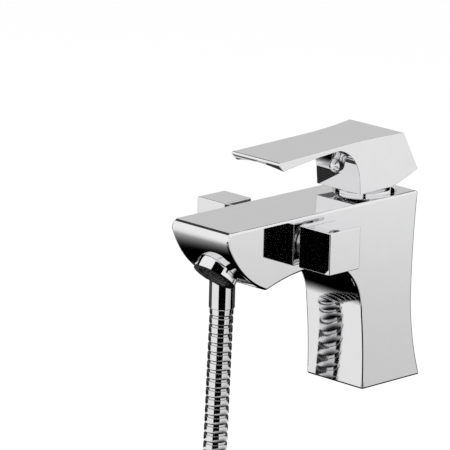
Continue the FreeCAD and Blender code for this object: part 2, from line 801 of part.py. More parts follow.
drum_end = cylinder("Drum_end_port", "drum_port", "drum_long / 2 + 1", valve_at, "x")
node("diverter_spindle", cut("Diverter_spindle", spindle, drum_port, drum_end))
node("spindle_ring", tube("Spindle_ring", "spindle_radius - spindle_groove", "spindle_radius", "spindle_ring_from",
                          "spindle_ring_from + spindle_ring_long", valve_at, "x"))


def eased(name, block, edge):
    """The block with its twelve edges broken."""
    doc.recompute()
    obj = doc.addObject("Part::Chamfer", name)
    obj.Base = block
    obj.Edges = [(i + 1, number(edge), number(edge)) for i in range(len(block.Shape.Edges))]
    return obj


knob_block = box("Knob_block", "knob_wide", "2 * knob_half", "2 * knob_half",
                 ("knob_inner", "-side_front - knob_half", "side_height - knob_half"))
knob_way = cylinder("Knob_way", "spindle_radius", "spindle_end - knob_inner + 1", ("knob_inner - 1",) + side_at, "x")
knob_screw_x = "knob_inner + knob_wide / 4"
knob_screw_low = "side_height - knob_half + knob_screw_sunk"
knob_screw_long = "knob_half - spindle_radius - knob_screw_sunk"
knob_screw_way = cylinder("Knob_screw_way", "knob_screw_radius", "knob_half",
                          (knob_screw_x, "-side_front", "side_height - knob_half - spindle_radius"))
node("diverter_knob", cut("Diverter_knob", eased("Knob_eased", knob_block, "knob_edge"), knob_way, knob_screw_way))
knob_screw = cylinder("Knob_screw_body", "knob_screw_radius", knob_screw_long,
                      (knob_screw_x, "-side_front", knob_screw_low))
knob_screw_key = hexagon("Knob_screw_key", "knob_screw_radius / 2", "3",
                         (knob_screw_x, "-side_front", knob_screw_low + " - 1"))
node("knob_screw", cut("Knob_screw", knob_screw, knob_screw_key))

# Shower outlet on the left
elbow_inner = "-elbow_out + elbow_half"
neck_inner = "-body_half_wide + neck_thread_long"
neck_at = (neck_inner,) + side_at
neck_turn = FreeCAD.Rotation(V(0, 1, 0), -90)
neck_long = "elbow_out - elbow_half - body_half_wide + neck_thread_long"
node("outlet_neck", turned("Outlet_neck", [
    ("neck_bore", "0", None),
    ("neck_thread_radius", "0", None),
    ("neck_thread_radius", "neck_thread_long", None),
    ("neck_flange_radius", "neck_thread_long", None),
    ("neck_flange_radius", "neck_thread_long + neck_flange_thick", None),
    ("neck_radius", "neck_thread_long + neck_flange_thick", None),
    ("neck_radius", neck_long, None),
    ("neck_spigot_radius", neck_long, None),
    ("neck_spigot_radius", neck_long + " + neck_spigot_long", None),
    ("neck_bore", neck_long + " + neck_spigot_long", None),
], neck_at, neck_turn))
drop_at = ("-elbow_out", "-side_front")
elbow_block = box("Elbow_block", "2 * elbow_half", "2 * elbow_half", "elbow_top - elbow_bottom",
                  ("-elbow_out - elbow_half", "-side_front - elbow_half", "elbow_bottom"))
elbow_cuts = [
    cylinder("Elbow_spigot_way", "neck_spigot_radius", "neck_spigot_long + 1",
             (elbow_inner + " - neck_spigot_long",) + side_at, "x"),
    cylinder("Elbow_cross_way", "neck_bore", "elbow_half + 1", ("-elbow_out",) + side_at, "x"),
    cylinder("Elbow_down_way", "neck_bore", "side_height - elbow_bottom", drop_at + ("elbow_bottom",)),
    cylinder("Elbow_tail_way", "tail_seat_radius", "tail_up + 1", drop_at + ("elbow_bottom - 1",)),
    ball("Elbow_turn_way", "neck_bore", ("-elbow_out",) + side_at),
]
node("outlet_elbow", cut("Outlet_elbow", eased("Elbow_eased", elbow_block, "elbow_edge"), *elbow_cuts))
tail_low = "elbow_bottom - tail_long"
node("outlet_tail", turned("Outlet_tail", [
    ("tail_bore", tail_low, None),
    ("tail_radius - 0.6", tail_low, None),
    ("tail_radius", tail_low + " + 0.6", None),
    ("tail_radius", "elbow_bottom", None),
    ("tail_seat_radius", "elbow_bottom", None),
    ("tail_seat_radius", "elbow_bottom + tail_up", None),
    ("neck_bore", "elbow_bottom + tail_up", None),
    ("neck_bore", tail_low + " + check_high", None),
    ("tail_bore", tail_low + " + check_high", None),
], drop_at + ("0",)))

# Check valve in the outlet's tail
check_top = tail_low + " + check_high"
seat_low = check_top + " - check_seat_thick"
node("check_cage", turned("Check_cage", [
    ("guide_hole", tail_low, None),
    ("check_radius", tail_low, None),
    ("check_radius", check_top, None),
    ("check_seat_bore", check_top, None),
    ("check_seat_bore", seat_low, None),
    ("check_bore", seat_low, None),
    ("check_bore", tail_low + " + guide_thick", None),
    ("guide_hole", tail_low + " + guide_thick", None),
], drop_at + ("0",)))
poppet_low = seat_low + " - poppet_thick"
node("check_poppet", turned("Check_poppet", [
    ("0", tail_low + " + 0.2", None),
    ("poppet_stem", tail_low + " + 0.2", None),
    ("poppet_stem", poppet_low, None),
    ("poppet_radius", poppet_low, None),
    ("poppet_radius", seat_low, None),
    ("0", seat_low, None),
], drop_at + ("0",)))

spring_wire = number("spring_wire")
spring_low = number(tail_low + " + guide_thick + spring_gap + spring_wire")
spring_high = number(poppet_low + " - spring_gap - spring_wire")
spring_turns = number("spring_turns")
spring_centre = V(-number("elbow_out"), -number("side_front"), spring_low)
spring_arcs, _, spring_way = spiral(
    spring_centre, number("spring_radius"), (spring_high - spring_low) / spring_turns, 0, spring_turns, 4,
    V(1, 0, 0), V(0, 1, 0), V(0, 0, 1))
spring, spring_path = swept(spring_arcs, spring_wire, spring_way(0))
node("check_spring", part_feature("Check_spring", spring))
print("spring: least gap to itself", round(least_gap(spring_path, spring_wire, 6), 2), "mm")

# Hose nut, washer and upper sleeve
nut_round = turned("Hose_nut_round", [
    ("sleeve_radius + 0.1", "hose_nut_bottom", None),
    ("hose_nut_radius - 1", "hose_nut_bottom", None),
    ("hose_nut_radius", "hose_nut_bottom + 1", None),
    ("hose_nut_radius", "hose_nut_top - 1", None),
    ("hose_nut_radius - 1", "hose_nut_top", None),
    ("tail_radius", "hose_nut_top", None),
    ("tail_radius", "hose_nut_top - hose_nut_thread_long - hose_washer_thick - hose_flange_thick", None),
    ("sleeve_radius + 0.1", "hose_nut_top - hose_nut_thread_long - hose_washer_thick - hose_flange_thick", None),
], drop_at + ("0",))
nut_flats = hexagon("Hose_nut_flats", "hose_nut_flat", "hose_nut_top - hose_nut_bottom", drop_at + ("hose_nut_bottom",))
node("hose_nut", common("Hose_nut", nut_round, nut_flats))
washer_high = "hose_nut_top - hose_nut_thread_long"
washer_low = washer_high + " - hose_washer_thick"
flange_low = washer_low + " - hose_flange_thick"
node("hose_washer", tube("Hose_washer", "hose_washer_bore", "tail_radius", washer_low, washer_high, drop_at + ("0",)))
node("hose_sleeve", turned("Hose_sleeve", [
    ("hose_bore", "sleeve_bottom", None),
    ("sleeve_radius - 0.3", "sleeve_bottom", None),
    ("sleeve_radius", "sleeve_bottom + 0.3", None),
    ("sleeve_radius", flange_low, None),
    ("hose_flange_radius", flange_low, None),
    ("hose_flange_radius", washer_low, None),
    ("hose_bore", washer_low, None),
], drop_at + ("0",)))

# Hose: a ribbed drop, a bend, a tied coil of two turns and a sixth, and a straight tail
hose_radius = number("hose_radius")
hose_x = -number("elbow_out")
hose_y = -number("side_front")
sleeve_bottom = number("sleeve_bottom")
drop_bottom = number("drop_bottom")
coil_radius = number("coil_radius")
coil_pitch = number("coil_pitch")
coil_centre = V(hose_x, hose_y, drop_bottom - coil_radius * math.sqrt(3))
COIL_START = 120.0


def level_circle(radius, height):
    """A circle round the hose's drop that starts on its +X side, so that lofts don't twist."""
    circle = Part.Circle(V(hose_x, hose_y, height), V(0, 0, 1), radius)
    return Part.Wire([circle.toShape()])


def ribbed_drop(top, bottom, pitch, crest, slope, radius, root, bore):
    """A straight hose that hangs down: a plain cuff, ribs from 4 circles each, a plain end."""
    count = int((top - bottom - 2 * radius) / pitch)
    lead = (top - bottom - count * pitch) / 2
    rings = [level_circle(radius, top), level_circle(radius, top - lead)]
    for i in range(count):
        start = top - lead - i * pitch
        marks = ((root, slope), (root, pitch - crest - slope), (radius, pitch - crest), (radius, pitch))
        rings += [level_circle(size, start - down) for size, down in marks]
    rings.append(level_circle(radius, bottom))
    wall = Part.makeLoft(rings, True, True)
    return wall.cut(Part.makeCylinder(bore, top - bottom, V(hose_x, hose_y, bottom)))


node("hose_drop", part_feature("Hose_drop", ribbed_drop(
    sleeve_bottom, drop_bottom, number("rib_pitch"), number("rib_crest"), number("rib_slope"),
    hose_radius, number("hose_root"), number("hose_bore"))))

bend_top = V(hose_x, hose_y, drop_bottom)
bend_centre = bend_top - V(coil_radius, 0, 0)


def on_bend(angle):
    turn = math.radians(angle)
    return bend_centre + V(math.cos(turn), 0, -math.sin(turn)) * coil_radius


bend, bend_path = swept([Part.Arc(bend_top, on_bend(30), on_bend(60))], hose_radius, V(0, 0, -1))
node("hose_bend", part_feature("Hose_bend", bend))
coil_turns = number("coil_turns") + 1 / 6
coil_arcs, coil_spot, coil_way = spiral(
    coil_centre, coil_radius, coil_pitch, COIL_START, coil_turns, 4, V(1, 0, 0), V(0, 0, 1), V(0, -1, 0))
coil_start_way = coil_way(COIL_START)
coil, coil_path = swept(coil_arcs, hose_radius, coil_start_way)
node("hose_coil", part_feature("Hose_coil", coil))
print("coil: least gap to itself", round(least_gap(coil_path, hose_radius, coil_radius * 2), 2), "mm")
coil_stop = COIL_START + 360 * coil_turns
tail_top = coil_spot(coil_stop)
tail_long = number("hose_tail_long")
tail_at = (str(tail_top.x), str(tail_top.y), str(tail_top.z))
node("hose_tail", cylinder("Hose_tail", "hose_radius", "hose_tail_long", tail_at[:2] + (f"{tail_top.z} - hose_tail_long",)))
hose_long = sleeve_bottom - drop_bottom + bend_path.Length + coil_path.Length + tail_long
print("hose: free length", round(hose_long, 1), "mm, radii", round(coil_radius, 1))

# Lower end of the hose: sleeve, cone nut and washer
end_top = f"{tail_top.z} - hose_tail_long"
end_low = end_top + " - end_sleeve_long"
end_at = tail_at[:2] + ("0",)
node("end_sleeve", turned("End_sleeve", [
    ("hose_bore", end_low, None),
    ("hose_flange_radius", end_low, None),
    ("hose_flange_radius", end_low + " + hose_flange_thick", None),
    ("sleeve_radius", end_low + " + hose_flange_thick", None),
    ("sleeve_radius", end_top + " - 0.3", None),
    ("sleeve_radius - 0.3", end_top, None),
    ("hose_bore", end_top, None),
], end_at))
cone_low = end_low + " - end_washer_thick - cone_thread_deep"
cone_shelf = end_low + " + hose_flange_thick"
node("cone_nut", turned("Cone_nut", [
    ("cone_thread_radius", cone_low, None),
    ("cone_nut_radius - 0.5", cone_low, None),
    ("cone_nut_radius", cone_low + " + 0.5", None),
    ("cone_nut_radius", cone_low + " + cone_skirt_long", None),
    ("cone_nut_top", cone_low + " + cone_nut_long", None),
    ("sleeve_radius + 0.1", cone_low + " + cone_nut_long", None),
    ("sleeve_radius + 0.1", cone_shelf, None),
    ("cone_relief_radius", cone_shelf, None),
    ("cone_relief_radius", cone_low + " + cone_thread_long", None),
    ("cone_thread_radius", cone_low + " + cone_thread_long", None),
], end_at))
node("end_washer", tube("End_washer", "end_washer_bore", "cone_thread_radius",
                        end_low + " - end_washer_thick", end_low, end_at))


def tie(name, angle, first, last):
    """A flat strap round the strands of the coil that lie side by side at one angle."""
    turn = math.radians(angle)
    along = -coil_pitch / 360
    near = coil_centre.y + along * (first - COIL_START)
    far = coil_centre.y + along * (last - COIL_START)
    wide = number("tie_wide")
    loops = []
    for size in (number("hose_radius + tie_gap"), number("hose_radius + tie_gap + tie_thick")):
        solid = Part.makeBox(2 * size, near - far, wide, V(-size, far, -wide / 2))
        for end in (near, far):
            solid = solid.fuse(Part.makeCylinder(size, wide, V(0, end, -wide / 2)))
        loops.append(solid)
    strap = loops[1].cut(loops[0]).removeSplitter()
    strap.rotate(V(), V(0, 1, 0), -angle)
    strap.translate(V(coil_centre.x + coil_radius * math.cos(turn), 0, coil_centre.z + coil_radius * math.sin(turn)))
    return part_feature(name, strap)


node("coil_tie_upper", tie("Tie_upper", 15, 375, 735))
node("coil_tie_lower", tie("Tie_lower", 270, 270, 630))

# Build, check and write every piece
doc.recompute()
for obj in doc.Objects:
    assert "Invalid" not in obj.State and "Error" not in obj.State, (obj.Name, obj.State)
os.makedirs("parts", exist_ok=True)
for obj in nodes:
    shape = obj.Shape
    assert not shape.isNull() and shape.isValid(), obj.Label
    assert len(shape.Solids) == 1, (obj.Label, len(shape.Solids))
    shape.exportStep(f"parts/{obj.Label}.step")
print(len(nodes), "pieces written")
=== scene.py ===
"""A deck bath mixer with its metal shower hose, finished on the CAD frame.

Lengths are metres in the CAD frame: +Z up, the spout towards -Y, the diverter
knob on the +X side, the origin at the centre of the column's foot.
"""

import math

import bmesh
import bpy
from bpy.props import FloatProperty, FloatVectorProperty, IntProperty, PointerProperty
from bpy.types import Operator, Panel, PropertyGroup
from mathutils import Matrix, Vector


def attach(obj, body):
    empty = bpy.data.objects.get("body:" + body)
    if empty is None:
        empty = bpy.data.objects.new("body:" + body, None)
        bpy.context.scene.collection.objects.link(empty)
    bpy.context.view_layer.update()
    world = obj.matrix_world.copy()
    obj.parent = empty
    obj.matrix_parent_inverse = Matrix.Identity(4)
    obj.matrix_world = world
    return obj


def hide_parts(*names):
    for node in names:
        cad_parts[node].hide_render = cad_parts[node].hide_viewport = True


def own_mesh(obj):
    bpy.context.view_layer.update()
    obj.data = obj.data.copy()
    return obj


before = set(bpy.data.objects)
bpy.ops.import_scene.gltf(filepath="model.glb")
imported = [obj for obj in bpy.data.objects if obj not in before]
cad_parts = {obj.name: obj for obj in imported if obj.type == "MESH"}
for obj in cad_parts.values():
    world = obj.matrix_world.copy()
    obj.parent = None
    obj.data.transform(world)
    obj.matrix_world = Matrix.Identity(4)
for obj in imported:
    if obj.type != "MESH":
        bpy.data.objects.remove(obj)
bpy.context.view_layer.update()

bl_info = {
    "name": "Deck Bath Mixer",
    "version": (1, 0, 0),
    "blender": (4, 5, 0),
    "location": "View3D > Sidebar > Mixer",
    "description": "Finishes the deck bath mixer, its hose and its studio",
    "category": "Object",
}

MM = 0.001

# The hose hangs straight from the outlet, bends aside and goes into its coil.
DROP_X = -47.6 * MM
DROP_Y = -70.6 * MM
DROP_TOP = 43.0 * MM
COIL_CENTRE = (-47.6 * MM, -225.492 * MM)
COIL_RADIUS = 84.0 * MM
COIL_START = 120.0
COIL_SWEEP = 780.0
COIL_STEP = 15.4 * MM
COIL_POINTS = 17
# Under the outlet the hose already leans a little towards its bend.
LEAN_MID = (-49.6 * MM, -20.0 * MM)
LEAN_LOW = (-52.8 * MM, -128.5 * MM)
HOSE_END = (-131.6 * MM, -103.967 * MM, -259.492 * MM)

# The ball that closes the lever's screw hole, on a short stem.
PLUG_CENTRE = (0.0, -28.3 * MM, 130.2 * MM)
PLUG_RADIUS = 4.2 * MM
PLUG_STEM_RADIUS = 2.9 * MM
PLUG_STEM_END = 10.2 * MM
PLUG_STEPS = 28
PLUG_SIDES = 48
# How far in front of the ball's centre the painted shade on the plug begins and is full.
PLUG_SHADE_STARTS = 2.2 * MM
PLUG_SHADE_FULL = 0.8 * MM

# One pitch of the hose: how far along it a ring lies, how much of the band's
# depth and of the seam's depth it is sunk, and how dark its painted shade makes it.
BAND_RINGS = (
    (0.000, 0.12, 0.0, 0.7),
    (0.025, 0.00, 0.0, 0.0),
    (0.100, 0.00, 0.0, 0.0),
    (0.600, 0.00, 0.0, 0.0),
    (0.655, 0.12, 0.0, 0.0),
    (0.660, 0.00, 1.0, 1.0),
    (0.742, 0.00, 1.0, 1.0),
    (0.750, 1.00, 0.0, 0.1),
    (0.960, 1.00, 0.0, 0.0),
    (0.990, 1.00, 0.0, 0.7),
)

# Corners of a CAD mesh nearer than this are one, and faces that turn by less are one.
WELD_GAP = 0.002 * MM
SAME_FACE_TURN = math.radians(0.4)
# An edge that turns by more is sharp.
SHARP_TURN = math.radians(28.0)
HOSE_SHARP_TURN = math.radians(34.0)

# How wide the long outer edges of the casting, the lever and the square blocks are rounded.
BODY_EDGE = 1.4 * MM
LEVER_EDGE = 0.7 * MM
BLOCK_EDGE = 0.8 * MM

# The camera's place, and its turn, dip and roll in radians.
CAMERA_PLACE = (1.81477, -1.95528, 0.79213)
CAMERA_TURN = 0.779175
CAMERA_DIP = 0.258279
CAMERA_ROLL = 0.0248287

# The upright cards stand round this point.
CARD_CENTRE = (0.0, -0.06)
CARD_STEPS = 24


# Sizes and colours


class PlatingSettings(PropertyGroup):
    """The bright plating of every outer metal piece."""

    colour: FloatVectorProperty(
        name="Plating colour",
        description="Colour of the bright chromium plating",
        subtype="COLOR",
        size=3,
        min=0.0,
        max=1.0,
        default=(0.83, 0.83, 0.84),
    )
    roughness: FloatProperty(
        name="Roughness",
        description="How far the polish scatters a reflection",
        subtype="FACTOR",
        min=0.0,
        max=1.0,
        default=0.03,
    )
    ripple: FloatProperty(
        name="Ripple",
        description="Height of the long waves that polishing leaves on the casting",
        unit="LENGTH",
        min=0.0,
        max=0.001,
        precision=6,
        default=0.000012,
    )


class HoseSettings(PropertyGroup):
    """The wound metal hose."""

    diameter: FloatProperty(
        name="Diameter",
        description="Outer diameter over the wide bands",
        unit="LENGTH",
        min=0.008,
        max=0.02,
        precision=4,
        default=0.014,
    )
    pitch: FloatProperty(
        name="Pitch",
        description="Length of one wide band and one narrow band",
        unit="LENGTH",
        min=0.003,
        max=0.01,
        precision=4,
        default=0.0055,
    )
    band_depth: FloatProperty(
        name="Band depth",
        description="How far the narrow band lies below the wide one",
        unit="LENGTH",
        min=0.0,
        max=0.002,
        precision=5,
        default=0.0005,
    )
    seam_depth: FloatProperty(
        name="Seam depth",
        description="How deep the dark seam under each wide band is",
        unit="LENGTH",
        min=0.0,
        max=0.003,
        precision=5,
        default=0.0010,
    )
    sides: IntProperty(
        name="Sides",
        description="Points round the hose",
        min=12,
        max=32,
        default=30,
    )


class StudioSettings(PropertyGroup):
    """The floor, cards, lamps and camera."""

    floor_height: FloatProperty(
        name="Floor height",
        description="Height of the floor, under the hanging coil",
        unit="LENGTH",
        default=-0.36,
    )
    key_power: FloatProperty(
        name="Key lamp",
        description="Power of the large lamp at the upper left, in watts",
        min=0.0,
        default=7.0,
    )
    lens: FloatProperty(
        name="Lens",
        description="Focal length on a sensor 36 mm wide",
        unit="CAMERA",
        default=380.62,
    )


# Shader and geometry trees


class Wire:
    """One socket of a node tree, with arithmetic that adds Math nodes."""

    def __init__(self, tree, socket):
        self.tree = tree
        self.socket = socket

    def math(self, operation, *values):
        made = self.tree.nodes.new("ShaderNodeMath")
        made.operation = operation
        for place, value in enumerate(values):
            join(self.tree, value, made.inputs[place])
        return Wire(self.tree, made.outputs[0])

    def __add__(self, other):
        return self.math("ADD", self, other)

    def __radd__(self, other):
        return self.math("ADD", other, self)

    def __sub__(self, other):
        return self.math("SUBTRACT", self, other)

    def __rsub__(self, other):
        return self.math("SUBTRACT", other, self)

    def __mul__(self, other):
        return self.math("MULTIPLY", self, other)

    def __rmul__(self, other):
        return self.math("MULTIPLY", other, self)

    def __truediv__(self, other):
        return self.math("DIVIDE", self, other)

    def whole(self):
        """The whole number at or under the value."""
        return self.math("FLOOR", self)


def join(tree, value, socket):
    """Links a wire to a socket, or sets the socket to a plain value."""
    if isinstance(value, Wire):
        tree.links.new(value.socket, socket)
    else:
        socket.default_value = value


class Tree:
    """A node tree that is built by calls."""

    def __init__(self, tree):
        self.tree = tree

    def node(self, kind, settings=None, inputs=None, output=0):
        """Adds a node: its settings first, then its sockets by name or number."""
        made = self.tree.nodes.new(kind)
        for key, value in (settings or {}).items():
            setattr(made, key, value)
        for key, value in (inputs or {}).items():
            join(self.tree, value, made.inputs[key])
        if len(made.outputs) == 0:
            return None
        return Wire(self.tree, made.outputs[output])


class Finish(Tree):
    """One material of the mixer."""

    def __init__(self, name):
        self.material = bpy.data.materials.new(name)
        self.material.use_nodes = True
        self.material.node_tree.nodes.clear()
        super().__init__(self.material.node_tree)

    def place(self):
        """Object coordinates."""
        return self.node("ShaderNodeTexCoord", output="Object")

    def along(self, axis):
        """The object coordinate along one axis."""
        return self.node("ShaderNodeSeparateXYZ", inputs={"Vector": self.place()}, output=axis)

    def stretched(self, scale, turn=(0.0, 0.0, 0.0)):
        """Object coordinates with their own scale along each axis."""
        return self.node(
            "ShaderNodeMapping",
            inputs={"Vector": self.place(), "Scale": scale, "Rotation": turn},
        )

    def noise(self, vector, scale, detail=2.0):
        sockets = {"Vector": vector, "Scale": scale, "Detail": detail}
        return self.node("ShaderNodeTexNoise", inputs=sockets)

    def smooth(self, value, first, last, low=0.0, high=1.0):
        """Goes smoothly from a low to a high level while the value passes from first to last."""
        return self.node(
            "ShaderNodeMapRange",
            {"interpolation_type": "SMOOTHSTEP"},
            {"Value": value, "From Min": first, "From Max": last, "To Min": low, "To Max": high},
        )

    def mix(self, factor, first, second):
        """A colour between two colours."""
        first, second = (c if isinstance(c, Wire) else (*c, 1.0) for c in (first, second))
        sockets = {0: factor, 6: first, 7: second}
        return self.node("ShaderNodeMix", {"data_type": "RGBA"}, sockets, output=2)

    def bump(self, height, distance):
        return self.node("ShaderNodeBump", inputs={"Height": height, "Distance": distance})

    def attribute(self, name):
        return self.node("ShaderNodeAttribute", {"attribute_name": name}, output="Fac")

    def glow(self, strength):
        """A white shine."""
        sockets = {"Color": (1.0, 1.0, 1.0, 1.0), "Strength": strength}
        return self.node("ShaderNodeEmission", inputs=sockets)

    def surface(self, **sockets):
        """Ends the tree in a Principled shader; a socket's name has _ for its spaces."""
        named = {key.replace("_", " "): value for key, value in sockets.items()}
        self.output(self.node("ShaderNodeBsdfPrincipled", inputs=named))
        return self.material

    def output(self, shader):
        """Ends the tree in a shader."""
        self.node("ShaderNodeOutputMaterial", inputs={"Surface": shader})


# Finishes


def bright_plating(name, waves=1.0, dull=0.0):
    """Chromium plate on polished metal, with long waves and faint wipe marks."""
    look = bpy.context.scene.mixer_plating
    finish = Finish(name)
    colour = tuple(look.colour)
    broad = finish.noise(finish.place(), 46.0, 1.0)
    cloud = finish.noise(finish.place(), 120.0, 3.0)
    wipes = finish.noise(finish.stretched((900.0, 120.0, 900.0), (0.0, 0.0, 0.4)), 1.0, 2.0)
    duller = tuple(part * 0.955 for part in colour)
    return finish.surface(
        Base_Color=finish.mix(cloud, colour, duller),
        Metallic=1.0,
        Roughness=look.roughness + dull + 0.02 * (wipes * cloud),
        Normal=finish.bump(broad, look.ripple * waves),
    )


def plug_plating():
    """Satin plate on the plug's ball, with painted shade that turns it nearly black where it meets
    the lever.
    """
    finish = Finish("Satin plating, plug")
    middle = PLUG_CENTRE[1]
    # Painted shade: darkens the plug towards the lever, where the stem lies in shade.
    painted_stem_shade = finish.smooth(finish.along("Y"), middle - PLUG_SHADE_STARTS, middle - PLUG_SHADE_FULL)
    cloud = finish.noise(finish.place(), 400.0, 2.0)
    return finish.surface(
        Base_Color=finish.mix(painted_stem_shade, (0.86, 0.86, 0.87), (0.035, 0.035, 0.036)),
        Metallic=1.0,
        Roughness=0.2 + 0.02 * cloud,
    )


def turned_brass():
    """Bare brass with the rings that a lathe tool leaves."""
    finish = Finish("Turned brass")
    rings = finish.node(
        "ShaderNodeTexWave",
        {"wave_type": "BANDS", "bands_direction": "Z"},
        {"Vector": finish.place(), "Scale": 900.0, "Distortion": 1.5, "Detail": 2.0},
        output="Fac",
    )
    stain = finish.noise(finish.place(), 90.0, 3.0)
    return finish.surface(
        Base_Color=finish.mix(stain, (0.72, 0.50, 0.20), (0.58, 0.38, 0.15)),
        Metallic=1.0,
        Roughness=0.22 + 0.14 * rings,
        Normal=finish.bump(rings, 0.00002),
    )


def black_rubber():
    """Moulded rubber with a fine matt skin."""
    finish = Finish("Black rubber")
    skin = finish.noise(finish.place(), 2600.0, 3.0)
    bloom = finish.noise(finish.place(), 140.0, 3.0)
    return finish.surface(
        Base_Color=finish.mix(bloom, (0.018, 0.018, 0.019), (0.045, 0.045, 0.047)),
        Roughness=0.55 + 0.2 * bloom,
        Normal=finish.bump(skin, 0.00003),
    )


def lapped_ceramic():
    """Fine pale ceramic, lapped flat."""
    finish = Finish("Lapped ceramic")
    grain = finish.noise(finish.place(), 1800.0, 4.0)
    return finish.surface(
        Base_Color=finish.mix(grain, (0.83, 0.81, 0.76), (0.76, 0.74, 0.69)),
        Roughness=0.16 + 0.12 * grain,
    )


def moulded_plastic(name, colour, roughness):
    """Moulded plastic with a fine sparked skin and soft flow marks."""
    finish = Finish(name)
    skin = finish.noise(finish.place(), 3200.0, 2.0)
    flow = finish.noise(finish.stretched((60.0, 60.0, 260.0)), 1.0, 2.0)
    darker = tuple(part * 0.86 for part in colour)
    return finish.surface(
        Base_Color=finish.mix(flow, colour, darker),
        Roughness=roughness + 0.12 * skin,
        Normal=finish.bump(skin, 0.000012),
    )


def drawn_steel():
    """Stainless wire and small turned parts, with fine drawing lines."""
    finish = Finish("Drawn steel")
    lines = finish.noise(finish.stretched((300.0, 300.0, 2600.0)), 1.0, 3.0)
    return finish.surface(
        Base_Color=finish.mix(lines, (0.60, 0.59, 0.57), (0.46, 0.455, 0.44)),
        Metallic=1.0,
        Roughness=0.2 + 0.16 * lines,
        Normal=finish.bump(lines, 0.00001),
    )


def wound_band():
    """The plated strip of the hose, dull in its seams, and darkened there and at the band edges by
    painted shade.
    """
    look = bpy.context.scene.mixer_plating
    finish = Finish("Wound band")
    colour = tuple(look.colour)
    depth = finish.attribute("seam")
    cloud = finish.noise(finish.place(), 150.0, 3.0)
    rolled = finish.noise(finish.stretched((500.0, 500.0, 2600.0)), 1.0, 2.0)
    unshaded_band = finish.mix(cloud, colour, tuple(part * 0.94 for part in colour))
    return finish.surface(
        # Painted shade: the seams and the edges of the bands are darkened towards black.
        Base_Color=finish.mix(depth, unshaded_band, (0.03, 0.03, 0.032)),
        Metallic=1.0,
        Roughness=look.roughness + 0.02 + 0.45 * depth + 0.03 * rolled,
        Normal=finish.bump(rolled, 0.000006),
    )


# Meshes


def placed(name, data):
    """A new object in the scene."""
    obj = bpy.data.objects.new(name, data)
    bpy.context.scene.collection.objects.link(obj)
    return obj


def sharpen(shape, limit):
    """Marks as sharp the edges that turn by more than an angle."""
    for line in shape.edges:
        line.smooth = len(line.link_faces) == 2 and line.calc_face_angle(0.0) < limit


def mark_outline(shape):
    """Marks for the bevel the sharp lines that run over half the size of the shape."""
    weight = shape.edges.layers.float.new("bevel_weight_edge")
    whole = [vertex.co for vertex in shape.verts]
    left = {line for line in shape.edges if not line.smooth}
    while left:
        first = left.pop()
        chain, ends = [first], list(first.verts)
        while ends:
            for line in ends.pop().link_edges:
                if line in left:
                    left.remove(line)
                    chain.append(line)
                    ends += line.verts
        if diagonal([vertex.co for line in chain for vertex in line.verts]) > 0.5 * diagonal(whole):
            for line in chain:
                line[weight] = 1.0


def diagonal(points):
    """The length across the box round some points."""
    spans = [max(p[axis] for p in points) - min(p[axis] for p in points) for axis in range(3)]
    return math.hypot(*spans)


def welded(node_name, material, edge=0.0):
    """A welded copy of a CAD node, smooth over its curves and crisp at its edges."""
    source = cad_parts[node_name]
    mesh = source.data.copy()
    name = node_name + "_finished"
    mesh.name = name
    shape = bmesh.new()
    shape.from_mesh(mesh)
    bmesh.ops.remove_doubles(shape, verts=shape.verts, dist=WELD_GAP)
    if edge > 0.0:
        bmesh.ops.dissolve_limit(
            shape,
            angle_limit=SAME_FACE_TURN,
            verts=shape.verts,
            edges=shape.edges,
            use_dissolve_boundaries=False,
        )
    for face in shape.faces:
        face.smooth = True
    sharpen(shape, SHARP_TURN)
    if edge > 0.0:
        mark_outline(shape)
    shape.to_mesh(mesh)
    shape.free()
    if "custom_normal" in mesh.attributes:
        mesh.attributes.remove(mesh.attributes["custom_normal"])
    mesh.materials.clear()
    mesh.materials.append(material)
    obj = placed(name, mesh)
    if edge > 0.0:
        bevel = obj.modifiers.new("Soft edges", "BEVEL")
        bevel.width = edge
        bevel.segments = 3
        bevel.limit_method = "WEIGHT"
    weighted = obj.modifiers.new("Flat faces first", "WEIGHTED_NORMAL")
    weighted.keep_sharp = True
    weighted.weight = 100
    settle(obj)
    return obj


def settle(obj):
    """Turns what an object's modifiers make into its own plain mesh."""
    depsgraph = bpy.context.evaluated_depsgraph_get()
    mesh = bpy.data.meshes.new_from_object(obj.evaluated_get(depsgraph), depsgraph=depsgraph)
    obj.modifiers.clear()
    obj.data = mesh


def turned(name, outline, centre, material):
    """A smooth solid turned about a line towards +Y, from an outline of (radius, along)."""
    shape = bmesh.new()
    line = [shape.verts.new((radius, along, 0.0)) for radius, along in outline]
    edges = [shape.edges.new(pair) for pair in zip(line, line[1:])]
    bmesh.ops.spin(
        shape, geom=line + edges, axis=(0, 1, 0), cent=(0, 0, 0), angle=math.tau, steps=PLUG_SIDES
    )
    bmesh.ops.remove_doubles(shape, verts=shape.verts, dist=WELD_GAP)
    bmesh.ops.recalc_face_normals(shape, faces=shape.faces)
    for face in shape.faces:
        face.smooth = True
    bmesh.ops.translate(shape, verts=shape.verts, vec=centre)
    mesh = bpy.data.meshes.new(name)
    shape.to_mesh(mesh)
    shape.free()
    mesh.materials.append(material)
    return placed(name, mesh)


def ball_outline():
    """The outline of the ball plug with its stem, from its pole to the stem's end."""
    start = math.asin(PLUG_STEM_RADIUS / PLUG_RADIUS)
    line = []
    for place in range(PLUG_STEPS + 1):
        angle = math.pi - (math.pi - start) * place / PLUG_STEPS
        line.append((PLUG_RADIUS * math.sin(angle), PLUG_RADIUS * math.cos(angle)))
    return line + [(PLUG_STEM_RADIUS, PLUG_STEM_END), (0.0, PLUG_STEM_END)]


def finish_nodes(names, body, material, edge=0.0):
    """Welds and finishes CAD nodes, and sets each on its body."""
    made = []
    for name in names:
        obj = welded(name, material, edge)
        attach(obj, body)
        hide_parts(name)
        made.append(obj)
    return made


# Hose


